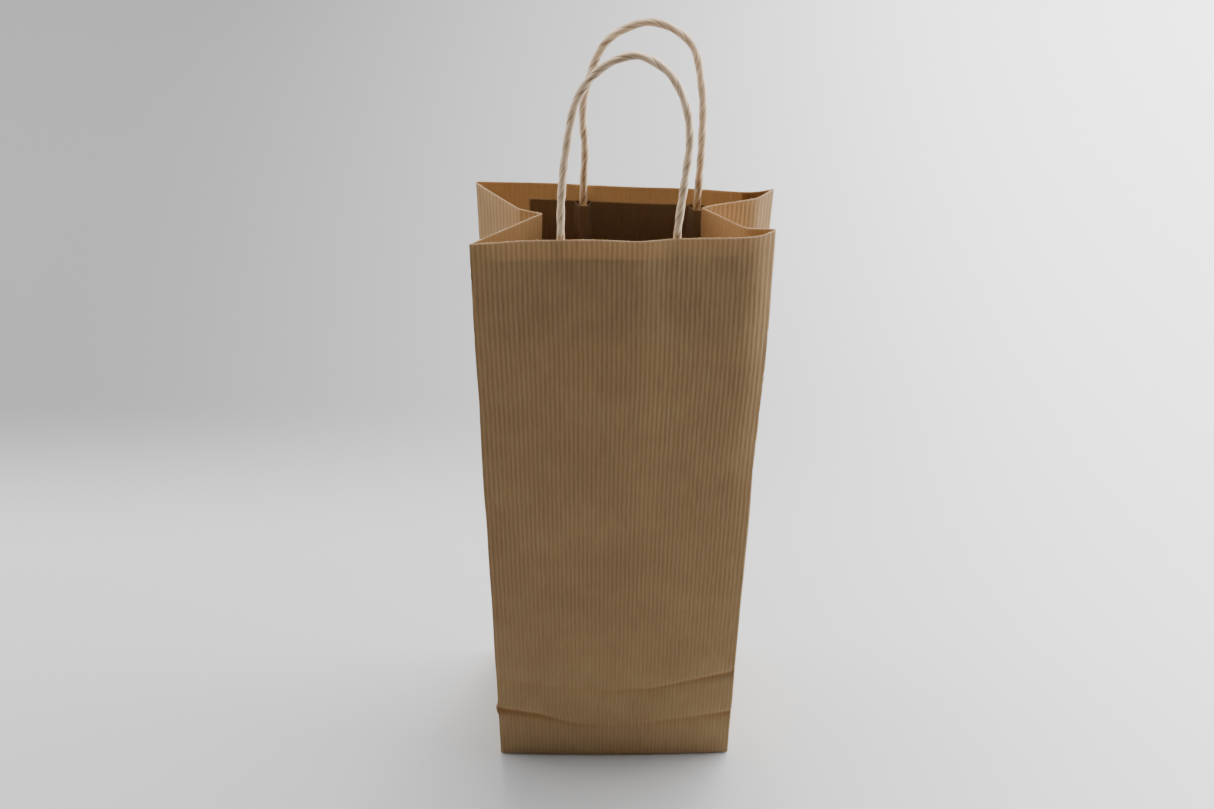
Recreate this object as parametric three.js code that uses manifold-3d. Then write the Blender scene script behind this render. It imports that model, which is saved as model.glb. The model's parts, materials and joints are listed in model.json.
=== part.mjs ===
// Wine gift bag: a block-bottom paper bag with folded gussets and two twisted paper cord handles.
// Millimetres, +Z up. The origin is the middle of the underside; the front panel faces -Y.
import * as THREE from 'three';
import { mergeVertices } from 'three/addons/utils/BufferGeometryUtils.js';
import Module from 'manifold-3d';

const wasm = await Module();
wasm.setup();

// Driving dimensions of the bag
const bagWidth = 140;
const bagDepth = 80;
const bagHeight = 390;
const sheet = 0.4; // thickness of every sheet solid
const gap = 0.3; // clearance between sheets that touch on the real bag

// The rim seen from above, with the mouth partly closed: the walls bow and turn in at their corners
const rimLines = {
  front: [[-69, -30], [-42, -27], [-12, -26.2], [9, -28.4], [22, -25.6], [61, -24.8], [66, -22.8], [70.5, -19]],
  back: [[-68, 17.5], [-28, 16], [4, 13.6], [38, 11.6], [57, 8.8], [64, 8.8], [72.5, 12]],
};
// The gusset halves at the rim, from the corner fold to the centre crease, which ends each list
const gussetRim = {
  left: { front: [[-36.5, -7]], back: [[-47.1, -3.4], [-36.5, -7]] },
  right: { front: [[57, -18.6], [37.7, -2.7]], back: [[64, 4.7], [43, -0.4], [37.7, -2.7]] },
};

// Block bottom
const foldHeight = bagDepth / 2; // height of the triangular fold in each gusset
const glueOverlap = 12; // how far each bottom flap passes the middle
const foldClearance = 0.6; // from a panel's middle plane to the edge of a bottom flap
const tuckClearance = 1.5; // from a gusset's foot to the edge of a bottom tuck, which sits higher
const cornerGap = 1.6; // gusset edge to corner fold
const creaseGap = 0.8; // gusset edge to centre crease

// Handles
const cordDiameter = 3.3;
const patchHeight = 50;
const legBottom = 350; // where the glued end of each cord stops, above the base
const hingeHeight = 392.5; // the cord bends here, just above the rim
const legTop = hingeHeight - cordDiameter / 2 - 2 * gap;
const bumpFlat = 2.3; // half width of the inner ply's bump over a cord, at full height
const bumpFoot = 6; // half width of the same bump at its foot
const frontHandle = {
  wall: 'front',
  patchCentre: -1.5,
  patchWidth: 120,
  patchBottom: 329,
  legs: [-27.6, 25.4],
  loop: [
    [-27.5, -23.6, 392.8], [-27.1, -23, 409], [-24.6, -21.6, 435], [-18.8, -19.8, 461.7], [-7.8, -18.6, 475.2],
    [5.5, -18, 479.8], [18.7, -18.2, 472], [25.9, -19, 458.7], [29.1, -20.2, 441.7], [27.8, -21.6, 419],
    [25.6, -22.8, 392.8],
  ],
};
const backHandle = {
  wall: 'back',
  patchCentre: 9.4,
  patchWidth: 105,
  patchBottom: 330,
  legs: [-17.5, 36.3],
  loop: [
    [-17.2, 12.9, 392.8], [-16.5, 12.3, 411.3], [-17.3, 11.3, 433.7], [-14.1, 10.2, 452.6], [-5.4, 8.8, 472],
    [12.5, 8, 480.3], [29.2, 8, 470.6], [35.6, 8.4, 446], [36.9, 9, 419], [36.5, 9.5, 392.8],
  ],
};

// Longitudinal seam, a lap glued on the outside of the back panel
const seamWidth = 15;

// Steps of the meshes
const panelRows = 8;
const gussetColumns = 7;
const gussetFoldRows = 4;
const gussetRows = 7;
const seamRows = 3;
const loopSteps = 28;
const cordSides = 8;

// Distances from a panel's middle plane to the middle of each layer behind it
const outerPlyOffset = sheet + gap;
const cordOffset = outerPlyOffset + sheet / 2 + gap + cordDiameter / 2;
const innerPlyLow = outerPlyOffset + sheet + gap;
const innerPlyHigh = cordOffset + cordDiameter / 2 + gap + sheet / 2;

const paint = (color, roughness) => new THREE.MeshStandardMaterial({ color, roughness, metalness: 0 });
const kraft = () => paint(0x9a7b56, 0.85);
const kraftInside = () => paint(0x7c5c3c, 0.88);
const kraftPatch = () => paint(0x8a6a48, 0.88);
const cordPaper = () => paint(0xb09a80, 0.9);

function named(name, geometry, material) {
  const mesh = new THREE.Mesh(geometry, material);
  mesh.name = name;
  return mesh;
}

const wallY = (wall) => (wall === 'front' ? -bagDepth : bagDepth) / 2;

// A point of a polyline, share 0 to 1 of its length
function alongLine(line, share) {
  const lengths = line.slice(1).map(([x, y], k) => Math.hypot(x - line[k][0], y - line[k][1]));
  let left = share * lengths.reduce((sum, length) => sum + length, 0);
  let k = 0;
  while (k < lengths.length - 1 && left > lengths[k]) {
    left -= lengths[k];
    k += 1;
  }
  const t = left / lengths[k];
  return [0, 1].map((axis) => THREE.MathUtils.lerp(line[k][axis], line[k + 1][axis], t));
}

// How far a hand-set rim line stands off the straight line between its ends, at the same x
function bowAtX(line, x) {
  const [start, end] = [line[0], line[line.length - 1]];
  const k = Math.max(1, line.findIndex((point) => point[0] >= x));
  const t = (x - line[k - 1][0]) / (line[k][0] - line[k - 1][0]);
  const onLine = THREE.MathUtils.lerp(line[k - 1][1], line[k][1], t);
  return onLine - THREE.MathUtils.mapLinear(x, start[0], end[0], start[1], end[1]);
}

// The bows fade with the square of the height, so that the bottom stays a true rectangle
const bowFade = (z) => (z / bagHeight) ** 2;

// The corner fold of one wall at height z
function cornerAt(wall, side, z) {
  const rim = side === 'left' ? rimLines[wall][0] : rimLines[wall][rimLines[wall].length - 1];
  const footX = (side === 'left' ? -bagWidth : bagWidth) / 2;
  const t = z / bagHeight;
  return new THREE.Vector3(
    THREE.MathUtils.lerp(footX, rim[0], t), THREE.MathUtils.lerp(wallY(wall), rim[1], t), z);
}

// The gusset's centre crease at height z: its halves keep their width as the walls lean in
function creaseAt(side, z) {
  const middleAt = (height) => cornerAt('front', side, height).lerp(cornerAt('back', side, height), 0.5);
  const halfGapAt = (height) => (cornerAt('back', side, height).y - cornerAt('front', side, height).y) / 2;
  const [rimX, rimY] = gussetRim[side].front[gussetRim[side].front.length - 1];
  const rimMiddle = middleAt(bagHeight);
  const rimHalfWidth = Math.hypot(rimX - rimMiddle.x, halfGapAt(bagHeight));
  const t = z / bagHeight;
  const halfWidth = THREE.MathUtils.lerp(bagDepth / 2, rimHalfWidth, t);
  const inward = Math.sqrt(Math.max(0, halfWidth ** 2 - halfGapAt(z) ** 2));
  const crease = middleAt(z);
  crease.x += side === 'left' ? inward : -inward;
  crease.y += (rimY - rimMiddle.y) * t;
  return crease;
}

// A point of a panel: u runs 0 to 1 from left to right, depth is measured into the bag
function panelPoint(wall, u, z, depth = 0) {
  const line = rimLines[wall];
  const rimX = THREE.MathUtils.lerp(line[0][0], line[line.length - 1][0], u);
  const point = cornerAt(wall, 'left', z).lerp(cornerAt(wall, 'right', z), u);
  point.y += bowAtX(line, rimX) * bowFade(z) + (wall === 'front' ? depth : -depth);
  return point;
}

function panelPointAtX(wall, x, z, depth = 0) {
  const left = cornerAt(wall, 'left', z);
  const right = cornerAt(wall, 'right', z);
  return panelPoint(wall, (x - left.x) / (right.x - left.x), z, depth);
}

// A point of a gusset half: u runs 0 to 1 from the corner fold to the centre crease.
// Under foldHeight the middle of the gusset is a triangle that leans in from the base edge.
function gussetPoint(wall, side, u, z) {
  const corner = cornerAt(wall, side, z);
  if (z >= foldHeight) {
    const rimCorner = cornerAt(wall, side, bagHeight);
    const line = [[rimCorner.x, rimCorner.y], ...gussetRim[side][wall]];
    const onLine = alongLine(line, u);
    const point = corner.lerp(creaseAt(side, z), u);
    const chord = rimCorner.lerp(creaseAt(side, bagHeight), u);
    point.x += (onLine[0] - chord.x) * bowFade(z);
    point.y += (onLine[1] - chord.y) * bowFade(z);
    return point;
  }
  const t = z / foldHeight;
  const apex = creaseAt(side, foldHeight);
  const foot = cornerAt(wall, side, 0);
  const diagonal = new THREE.Vector3(
    THREE.MathUtils.lerp(foot.x, apex.x, t), THREE.MathUtils.lerp(foot.y, apex.y, t), z);
  const centre = new THREE.Vector3(diagonal.x, apex.y * t, z);
  if (u < t) {
    return corner.lerp(diagonal, u / t);
  }
  return diagonal.lerp(centre, (u - t) / (1 - t));
}

// A closed sheet of even thickness over a grid of points
function sheetSolid(pointAt, across, up) {
  const columns = across.length;
  const rows = up.length;
  const step = 0.001; // small move along the surface, to find its slope
  const positions = [];
  for (const face of [0.5, -0.5]) {
    for (const v of up) {
      for (const u of across) {
        const point = pointAt(u, v);
        const alongU = pointAt(u + step, v).sub(pointAt(u - step, v));
        const alongV = pointAt(u, v + step).sub(pointAt(u, v - step));
        const normal = alongU.cross(alongV).normalize();
        point.addScaledVector(normal, face * sheet);
        positions.push(point.x, point.y, point.z);
      }
    }
  }
  const index = [];
  const at = (i, j, layer) => layer * columns * rows + j * columns + i;
  for (let j = 0; j < rows - 1; j += 1) {
    for (let i = 0; i < columns - 1; i += 1) {
      index.push(at(i, j, 0), at(i + 1, j, 0), at(i + 1, j + 1, 0));
      index.push(at(i, j, 0), at(i + 1, j + 1, 0), at(i, j + 1, 0));
      index.push(at(i, j, 1), at(i + 1, j + 1, 1), at(i + 1, j, 1));
      index.push(at(i, j, 1), at(i, j + 1, 1), at(i + 1, j + 1, 1));
    }
  }
  const border = [];
  for (let i = 0; i < columns - 1; i += 1) {
    border.push([i, 0]);
  }
  for (let j = 0; j < rows - 1; j += 1) {
    border.push([columns - 1, j]);
  }
  for (let i = columns - 1; i > 0; i -= 1) {
    border.push([i, rows - 1]);
  }
  for (let j = rows - 1; j > 0; j -= 1) {
    border.push([0, j]);
  }
  border.forEach(([i, j], k) => {
    const [nextI, nextJ] = border[(k + 1) % border.length];
    index.push(at(nextI, nextJ, 0), at(i, j, 0), at(i, j, 1));
    index.push(at(nextI, nextJ, 0), at(i, j, 1), at(nextI, nextJ, 1));
  });
  const geometry = new THREE.BufferGeometry();
  geometry.setAttribute('position', new THREE.Float32BufferAttribute(positions, 3));
  geometry.setIndex(index);
  geometry.computeVertexNormals();
  return geometry;
}

const spread = (low, high, count) =>
  Array.from({ length: count + 1 }, (_, k) => THREE.MathUtils.lerp(low, high, k / count));

// Front or back panel, one leaning sheet that bows towards the rim
function panel(wall) {
  const line = rimLines[wall];
  const across = line.map(([x]) => (x - line[0][0]) / (line[line.length - 1][0] - line[0][0]));
  const geometry = sheetSolid((u, z) => panelPoint(wall, u, z), across, spread(0, bagHeight, panelRows));
  return named(`${wall}_panel`, geometry, kraft());
}

// One half of a gusset, from the corner fold to the centre crease
function gussetHalf(wall, side) {
  const halfWidth = bagDepth / 2;
  const across = spread(cornerGap / halfWidth, 1 - creaseGap / halfWidth, gussetColumns);
  const foldRows = spread(gap * 2, foldHeight, gussetFoldRows);
  const up = [...foldRows, ...spread(foldHeight, bagHeight, gussetRows).slice(1)];
  const geometry = sheetSolid((u, z) => gussetPoint(wall, side, u, z), across, up);
  return named(`${side}_gusset_${wall === 'front' ? 'front' : 'rear'}`, geometry, kraft());
}

// Closed solids for the cuts
function toManifold(geometry) {
  const bare = geometry.clone();
  bare.deleteAttribute('normal');
  bare.deleteAttribute('uv');
  const merged = mergeVertices(bare, 1e-4);
  return new wasm.Manifold(new wasm.Mesh({
    numProp: 3,
    vertProperties: new Float32Array(merged.attributes.position.array),
    triVerts: new Uint32Array(merged.index.array),
  }));
}

function toGeometry(manifold) {
  const mesh = manifold.getMesh();
  const geometry = new THREE.BufferGeometry();
  geometry.setAttribute('position', new THREE.Float32BufferAttribute(mesh.vertProperties, 3));
  geometry.setIndex(Array.from(mesh.triVerts));
  geometry.computeVertexNormals();
  return geometry;
}

function prism(outline, height) {
  const shape = new THREE.Shape(outline.map(([x, y]) => new THREE.Vector2(x, y)));
  return new THREE.ExtrudeGeometry(shape, { depth: height, bevelEnabled: false });
}

// Plan of a bottom flap: full width at its fold, mitred at 45 degrees, then a straight tongue
function flapPlan(foldLength, foldDistance, reach) {
  const half = foldLength / 2;
  const tongue = half - foldDistance;
  return [
    [-half, -foldDistance], [half, -foldDistance], [tongue, 0], [tongue, reach], [-tongue, reach],
    [-tongue, 0],
  ];
}

// Two long flaps close the bottom and lap in the middle; the back one steps over the front one
function bottomFlaps() {
  const foldLength = bagWidth - 2 * foldClearance;
  const foldDistance = bagDepth / 2 - foldClearance;
  const front = prism(flapPlan(foldLength, foldDistance, glueOverlap), sheet);

  const lapHeight = sheet + gap;
  const stepStart = glueOverlap + gap;
  const section = [
    [foldDistance, 0], [foldDistance, sheet], [stepStart + sheet, sheet],
    [stepStart + sheet, lapHeight + sheet], [-glueOverlap, lapHeight + sheet], [-glueOverlap, lapHeight],
    [stepStart, lapHeight], [stepStart, 0],
  ];
  const stepped = prism(section, foldLength);
  stepped.rotateX(Math.PI / 2);
  stepped.rotateZ(Math.PI / 2);
  stepped.translate(-foldLength / 2, 0, 0);
  const planHeight = 10; // taller than the step
  const plan = prism(flapPlan(foldLength, foldDistance, glueOverlap), planHeight);
  plan.rotateZ(Math.PI);
  plan.translate(0, 0, -planHeight / 2);
  const back = toGeometry(toManifold(stepped).intersect(toManifold(plan)));
  return [named('bottom_flap_front', front, kraft()), named('bottom_flap_back', back, kraft())];
}

// The folded-in ends of the two gussets, above the long flaps
function bottomTuck(side) {
  const foldLength = bagDepth - 2 * foldClearance;
  const foldDistance = bagWidth / 2 - tuckClearance;
  const half = foldLength / 2;
  const mitre = half - glueOverlap;
  const tip = -foldDistance + bagDepth / 2 + glueOverlap;
  const outline = [
    [-foldDistance, -half], [-foldDistance + mitre, -glueOverlap], [tip, -glueOverlap],
    [tip, glueOverlap], [-foldDistance + mitre, glueOverlap], [-foldDistance, half],
  ];
  const geometry = prism(outline, sheet);
  if (side === 'right') {
    geometry.rotateZ(Math.PI);
  }
  geometry.translate(0, 0, 2 * (sheet + gap));
  return named(`bottom_tuck_${side}`, geometry, kraftInside());
}

// Strip glued over the back panel's right edge to close the tube
function seamFlap() {
  const start = 1 - seamWidth / bagWidth;
  const geometry = sheetSolid(
    (u, z) => panelPoint('back', u, z, -outerPlyOffset), [start, 1], spread(gap, bagHeight - gap, seamRows));
  return named('seam_flap', geometry, kraft());
}

// Handle patch: a flat ply on the panel and a second ply that bulges over the two cord ends
function patchPlies(handle) {
  const left = handle.patchCentre - handle.patchWidth / 2;
  const right = handle.patchCentre + handle.patchWidth / 2;
  const up = [handle.patchBottom, handle.patchBottom + patchHeight];
  const bends = rimLines[handle.wall].map(([x]) => x).filter((x) => x > left && x < right);
  const outer = sheetSolid(
    (x, z) => panelPointAtX(handle.wall, x, z, outerPlyOffset), [left, ...bends, right], up);

  const bulge = (x) => {
    const nearest = Math.min(...handle.legs.map((leg) => Math.abs(x - leg)));
    const rise = THREE.MathUtils.clamp((bumpFoot - nearest) / (bumpFoot - bumpFlat), 0, 1);
    return THREE.MathUtils.lerp(innerPlyLow, innerPlyHigh, rise);
  };
  const bumps = handle.legs.flatMap((leg) => [leg - bumpFoot, leg - bumpFlat, leg + bumpFlat, leg + bumpFoot]);
  const bumpsAndBends = [...bends.filter((x) => bulge(x) === innerPlyLow), ...bumps].sort((a, b) => a - b);
  const inner = sheetSolid(
    (x, z) => panelPointAtX(handle.wall, x, z, bulge(x)), [left, ...bumpsAndBends, right], up);
  return [
    named(`${handle.wall}_patch_outer`, outer, kraftPatch()),
    named(`${handle.wall}_patch_inner`, inner, kraftPatch()),
  ];
}

// A plain round cord along hand-set points
function cordSolid(points, steps) {
  const path = new THREE.CatmullRomCurve3(points.map((p) => new THREE.Vector3(...p)));
  const section = new THREE.Shape();
  const radius = cordDiameter / 2;
  for (let k = 0; k < cordSides; k += 1) {
    const angle = (2 * Math.PI * k) / cordSides;
    section[k === 0 ? 'moveTo' : 'lineTo'](radius * Math.cos(angle), radius * Math.sin(angle));
  }
  section.closePath();
  return new THREE.ExtrudeGeometry(section, { steps, extrudePath: path, bevelEnabled: false });
}

function cordLeg(handle, legNumber) {
  const x = handle.legs[legNumber];
  const ends = [legBottom, legTop].map((z) => panelPointAtX(handle.wall, x, z, cordOffset).toArray());
  const side = legNumber === 0 ? 'left' : 'right';
  return named(`${handle.wall}_cord_leg_${side}`, cordSolid(ends, 1), cordPaper());
}

function cordLoop(handle) {
  return named(`${handle.wall}_cord_loop`, cordSolid(handle.loop, loopSteps), cordPaper());
}

const bag = new THREE.Group();

const bottom = new THREE.Group();
bottom.add(...bottomFlaps(), bottomTuck('left'), bottomTuck('right'));
bag.add(bottom);

const gussets = new THREE.Group();
for (const side of ['left', 'right']) {
  gussets.add(gussetHalf('front', side), gussetHalf('back', side));
}
bag.add(gussets);

for (const handle of [frontHandle, backHandle]) {
  const wall = new THREE.Group();
  wall.add(panel(handle.wall), ...patchPlies(handle), cordLeg(handle, 0), cordLeg(handle, 1));
  if (handle.wall === 'back') {
    wall.add(seamFlap());
  }
  wall.add(cordLoop(handle));
  bag.add(wall);
}

export default bag;
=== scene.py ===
import json
from math import exp, hypot, pi, radians

import bpy
import numpy as np
from mathutils import Matrix, Vector

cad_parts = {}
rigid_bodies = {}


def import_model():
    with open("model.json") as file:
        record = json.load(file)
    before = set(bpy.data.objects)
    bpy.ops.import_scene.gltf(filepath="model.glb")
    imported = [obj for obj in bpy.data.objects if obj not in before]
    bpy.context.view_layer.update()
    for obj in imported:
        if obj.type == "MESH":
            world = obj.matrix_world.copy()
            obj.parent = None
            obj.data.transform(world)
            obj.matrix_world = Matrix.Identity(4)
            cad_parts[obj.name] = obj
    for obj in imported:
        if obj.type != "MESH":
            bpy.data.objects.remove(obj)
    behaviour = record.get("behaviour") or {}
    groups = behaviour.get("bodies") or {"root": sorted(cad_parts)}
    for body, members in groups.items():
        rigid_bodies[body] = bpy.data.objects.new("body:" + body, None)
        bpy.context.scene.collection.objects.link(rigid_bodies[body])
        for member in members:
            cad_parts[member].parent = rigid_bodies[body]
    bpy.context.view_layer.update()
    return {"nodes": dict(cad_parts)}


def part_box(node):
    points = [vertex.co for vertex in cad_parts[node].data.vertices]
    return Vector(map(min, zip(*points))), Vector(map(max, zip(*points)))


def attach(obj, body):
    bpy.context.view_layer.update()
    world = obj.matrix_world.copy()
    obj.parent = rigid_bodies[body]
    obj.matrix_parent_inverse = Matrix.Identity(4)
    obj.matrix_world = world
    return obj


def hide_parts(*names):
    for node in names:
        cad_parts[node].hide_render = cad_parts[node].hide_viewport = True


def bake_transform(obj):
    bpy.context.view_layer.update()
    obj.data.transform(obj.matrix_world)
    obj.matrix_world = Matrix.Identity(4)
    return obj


for leftover in list(bpy.data.objects):
    bpy.data.objects.remove(leftover)

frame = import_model()
collection = bpy.context.scene.collection
print("frame loaded:", len(frame["nodes"]), "nodes")


# node trees

class Wire:
    # one output socket; arithmetic on it adds Math nodes

    def __init__(self, graph, node, output=0):
        self.graph = graph
        self.node = node
        self.socket = node.outputs[output]

    def out(self, output):
        return Wire(self.graph, self.node, output)

    def __add__(self, other):
        return self.graph.math("ADD", self, other)

    def __radd__(self, other):
        return self.graph.math("ADD", other, self)

    def __sub__(self, other):
        return self.graph.math("SUBTRACT", self, other)

    def __rsub__(self, other):
        return self.graph.math("SUBTRACT", other, self)

    def __mul__(self, other):
        return self.graph.math("MULTIPLY", self, other)

    def __rmul__(self, other):
        return self.graph.math("MULTIPLY", other, self)

    def __truediv__(self, other):
        return self.graph.math("DIVIDE", self, other)

    def __pow__(self, other):
        return self.graph.math("POWER", self, other)

    def sine(self):
        return self.graph.math("SINE", self, 0)

    def size(self):
        return self.graph.math("ABSOLUTE", self, 0)


class Graph:
    def __init__(self, tree):
        self.tree = tree
        self.tree.nodes.clear()

    # any node: its settings first, then the values or links of its sockets
    def add(self, kind, settings=None, sockets=None, output=0):
        node = self.tree.nodes.new(kind)
        for name, value in (settings or {}).items():
            if name == "stops":
                ramp = node.color_ramp
                for place, shade in value[2:]:
                    ramp.elements.new(place)
                for element, (place, shade) in zip(ramp.elements, sorted(value)):
                    element.position = place
                    element.color = (*shade, 1)
            else:
                setattr(node, name, value)
        for name, value in (sockets or {}).items():
            self.feed(node.inputs[name], value)
        return Wire(self, node, output)

    def feed(self, socket, value):
        if isinstance(value, Wire):
            self.tree.links.new(value.socket, socket)
        elif socket.type == "RGBA":
            socket.default_value = (*value, 1)
        else:
            socket.default_value = value

    def math(self, operation, first, second):
        return self.add("ShaderNodeMath", {"operation": operation}, {0: first, 1: second})

    def vector(self, x, y, z):
        return self.add("ShaderNodeCombineXYZ", {}, {"X": x, "Y": y, "Z": z})

    # colours mix through the colour form of the Mix node
    def blendColour(self, factor, first, second, mode="MIX"):
        return self.add(
            "ShaderNodeMix", {"data_type": "RGBA", "blend_type": mode, "clamp_factor": True},
            {0: factor, 6: first, 7: second}, 2)

    def noise(self, vector, scale, detail=2.0, roughness=0.5, distortion=0.0):
        return self.add(
            "ShaderNodeTexNoise", {"noise_dimensions": "3D"},
            {"Vector": vector, "Scale": scale, "Detail": detail,
             "Roughness": roughness, "Distortion": distortion})

    def vectorMath(self, operation, sockets, output=0):
        return self.add("ShaderNodeVectorMath", {"operation": operation}, sockets, output)

    # what a mesh stores for a shader, and for a geometry tree
    def painted(self, name, output):
        return self.add("ShaderNodeAttribute", {"attribute_name": name}, {}, output)

    def stored(self, name, kind):
        return self.add("GeometryNodeInputNamedAttribute", {"data_type": kind}, {"Name": name})

    # 0 below low, 1 above high
    def step(self, value, low, high):
        return self.add(
            "ShaderNodeMapRange", {"interpolation_type": "SMOOTHSTEP"},
            {"Value": value, "From Min": low, "From Max": high, "To Min": 0.0, "To Max": 1.0})


def geometryTree(name, inputs):
    tree = bpy.data.node_groups.new(name, "GeometryNodeTree")
    graph = Graph(tree)
    tree.interface.new_socket("Geometry", in_out="INPUT", socket_type="NodeSocketGeometry")
    for label, kind in inputs:
        tree.interface.new_socket(label, in_out="INPUT", socket_type=kind)
    tree.interface.new_socket("Geometry", in_out="OUTPUT", socket_type="NodeSocketGeometry")
    entry = tree.nodes.new("NodeGroupInput")
    return graph, {item.name: Wire(graph, entry, item.name) for item in entry.outputs if item.name}


def closeTree(graph, geometry, material):
    realized = graph.add("GeometryNodeRealizeInstances", {}, {"Geometry": geometry})
    painted = graph.add("GeometryNodeSetMaterial", {}, {"Geometry": realized, "Material": material})
    end = graph.tree.nodes.new("NodeGroupOutput")
    graph.tree.links.new(painted.socket, end.inputs["Geometry"])


# the plain mesh that a tree makes of an object
def runTree(thing, graph, values):
    modifier = thing.modifiers.new("shape", "NODES")
    modifier.node_group = graph.tree
    for item in graph.tree.interface.items_tree:
        if item.item_type == "SOCKET" and item.in_out == "INPUT" and item.name in values:
            modifier[item.identifier] = values[item.name]
    depsgraph = bpy.context.evaluated_depsgraph_get()
    shaped = thing.evaluated_get(depsgraph)
    mesh = bpy.data.meshes.new_from_object(shaped, preserve_all_data_layers=True, depsgraph=depsgraph)
    thing.modifiers.remove(modifier)
    return mesh


def addObject(name, mesh):
    thing = bpy.data.objects.new(name, mesh)
    collection.objects.link(thing)
    return thing


def meshFrom(name, points, faces, edges=()):
    mesh = bpy.data.meshes.new(name)
    mesh.from_pydata([tuple(point) for point in points], list(edges), faces)
    return mesh


def setAttribute(mesh, name, kind, values):
    attribute = mesh.attributes.get(name) or mesh.attributes.new(name, kind, "POINT")
    field = "vector" if kind == "FLOAT_VECTOR" else "value"
    attribute.data.foreach_set(field, np.asarray(values, np.float32).ravel())


def coordinates(mesh):
    flat = np.zeros(len(mesh.vertices) * 3, np.float32)
    mesh.vertices.foreach_get("co", flat)
    return flat.reshape(-1, 3).astype(float)


# camera

cameraView = {
    "place": (-0.014, -0.594, 0.834),
    "down": 44.01,
    "turn": 0.81,
    "roll": 0.45,
    "lens": 46.97,
}


def makeCamera():
    data = bpy.data.cameras.new("viewCamera")
    data.sensor_fit = "HORIZONTAL"
    data.sensor_width = 36
    data.lens = cameraView["lens"]
    data.clip_start = 0.01
    down, turn, roll = (radians(cameraView[key]) for key in ("down", "turn", "roll"))
    forward = Vector((np.sin(turn) * np.cos(down), np.cos(turn) * np.cos(down), -np.sin(down)))
    level = Vector((np.cos(turn), -np.sin(turn), 0))
    upright = level.cross(forward)
    right = np.cos(roll) * level + np.sin(roll) * upright
    up = -np.sin(roll) * level + np.cos(roll) * upright
    pose = Matrix((right, up, -forward)).transposed().to_4x4()
    pose.translation = cameraView["place"]
    camera = bpy.data.objects.new("viewCamera", data)
    camera.matrix_world = pose
    collection.objects.link(camera)
    bpy.context.scene.camera = camera


makeCamera()
print("camera placed")


# the bag's lines, in metres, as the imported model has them

panelBox = {"front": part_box("front_panel"), "back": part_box("back_panel")}
solidSheet = 0.0004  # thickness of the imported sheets
bagHeight = panelBox["front"][1].z
footX = -panelBox["front"][0].x
footY = -panelBox["front"][0].y - solidSheet / 2
towards = {"front": -1, "back": 1}

bag = {
    "paper": 0.00028,  # shown thickness of one sheet
    "frontRim": [
        (-0.069, -0.030), (-0.042, -0.027), (-0.012, -0.0262), (0.009, -0.0284), (0.022, -0.0256),
        (0.061, -0.0248), (0.066, -0.0228), (0.0705, -0.019)],
    "backRim": [
        (-0.068, 0.0175), (-0.028, 0.016), (0.004, 0.0136), (0.038, 0.0116), (0.057, 0.0088),
        (0.064, 0.0088), (0.0725, 0.012)],
    "halfRims": {  # each gusset half at the rim, after its corner, and how far its bends are rounded
        ("front", -1): ([(-0.0365, -0.007)], 0.0022),
        ("back", -1): ([(-0.0471, -0.0034), (-0.0365, -0.007)], 0.0009),
        ("front", 1): ([(0.057, -0.0186), (0.0377, -0.0027)], 0.0022),
        ("back", 1): ([(0.064, 0.0047), (0.043, -0.0004), (0.0377, -0.0027)], 0.0022),
    },
    "foldHeight": 0.040,  # top of the triangular fold in each gusset
    "softPanel": 0.0045,  # how far the bends of a panel's rim are rounded
    "curlPoints": 2,  # points of each rim in its curled right corner
    "footBulge": 0.0017,  # how far the front foot bows outwards
    "footBulgeReach": 0.035,  # height over which that fades
    "creaseRound": 0.0006,  # the painted glow band fades this far above a storage fold
    "glowRise": 0.0012,  # the tinted band fades this far above a storage fold
}

# places where a corner fold swells outwards: wall, side, height, reach, size
cornerSwells = [
    ("front", 1, 0.318, 0.052, 0.0014),
    ("front", -1, 0.0448, 0.0055, 0.0012),
    ("front", -1, 0.345, 0.03, 0.0004),
    ("back", 1, 0.250, 0.07, 0.0010),
    ("back", -1, 0.200, 0.08, 0.0009),
]


def mix(first, second, share):
    return first + (second - first) * share


# Gaussian blur of a row of values that keeps both ends
def softened(values, reach):
    width = int(3 * reach) + 1
    offsets = np.arange(-width, width + 1)
    kernel = np.exp(-0.5 * (offsets / reach) ** 2)
    before = 2 * values[0] - values[width:0:-1]
    after = 2 * values[-1] - values[-2:-width - 2:-1]
    return np.convolve(np.concatenate([before, values, after]), kernel / kernel.sum(), mode="valid")


# how far a panel's rim stands off its straight chord, over share 0 to 1 from left to right
def panelBow(line, soft):
    samples = 561
    line = np.array(line)
    share = np.linspace(0, 1, samples)
    x = mix(line[0, 0], line[-1, 0], share)
    offset = np.interp(x, line[:, 0], line[:, 1]) - mix(line[0, 1], line[-1, 1], share)
    reach = soft / (line[-1, 0] - line[0, 0]) * samples
    offset = softened(offset, reach)
    return lambda u: np.interp(u, share, offset)


# how far a gusset half stands off its straight chord at the rim, from corner fold to centre crease
def halfBow(start, rest, soft):
    samples = 241
    line = np.array([start, *rest])
    lengths = np.hypot(*(line[1:] - line[:-1]).T)
    along = np.concatenate([[0], np.cumsum(lengths)]) / lengths.sum()
    share = np.linspace(0, 1, samples)
    reach = soft / lengths.sum() * samples
    offsets = []
    for axis in (0, 1):
        value = np.interp(share, along, line[:, axis])
        offsets.append(softened(value, reach) - mix(line[0, axis], line[-1, axis], share))
    return lambda u: np.stack([np.interp(u, share, offset) for offset in offsets], axis=-1)


rims = {"front": bag["frontRim"], "back": bag["backRim"]}


def rimCorner(wall, side):
    return rims[wall][0 if side < 0 else -1]


bows = {wall: panelBow(rims[wall], bag["softPanel"]) for wall in rims}
halfBows = {
    (wall, side): halfBow(rimCorner(wall, side), line, soft)
    for (wall, side), (line, soft) in bag["halfRims"].items()}
rimCrease = {side: bag["halfRims"]["front", side][0][-1] for side in (-1, 1)}


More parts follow.
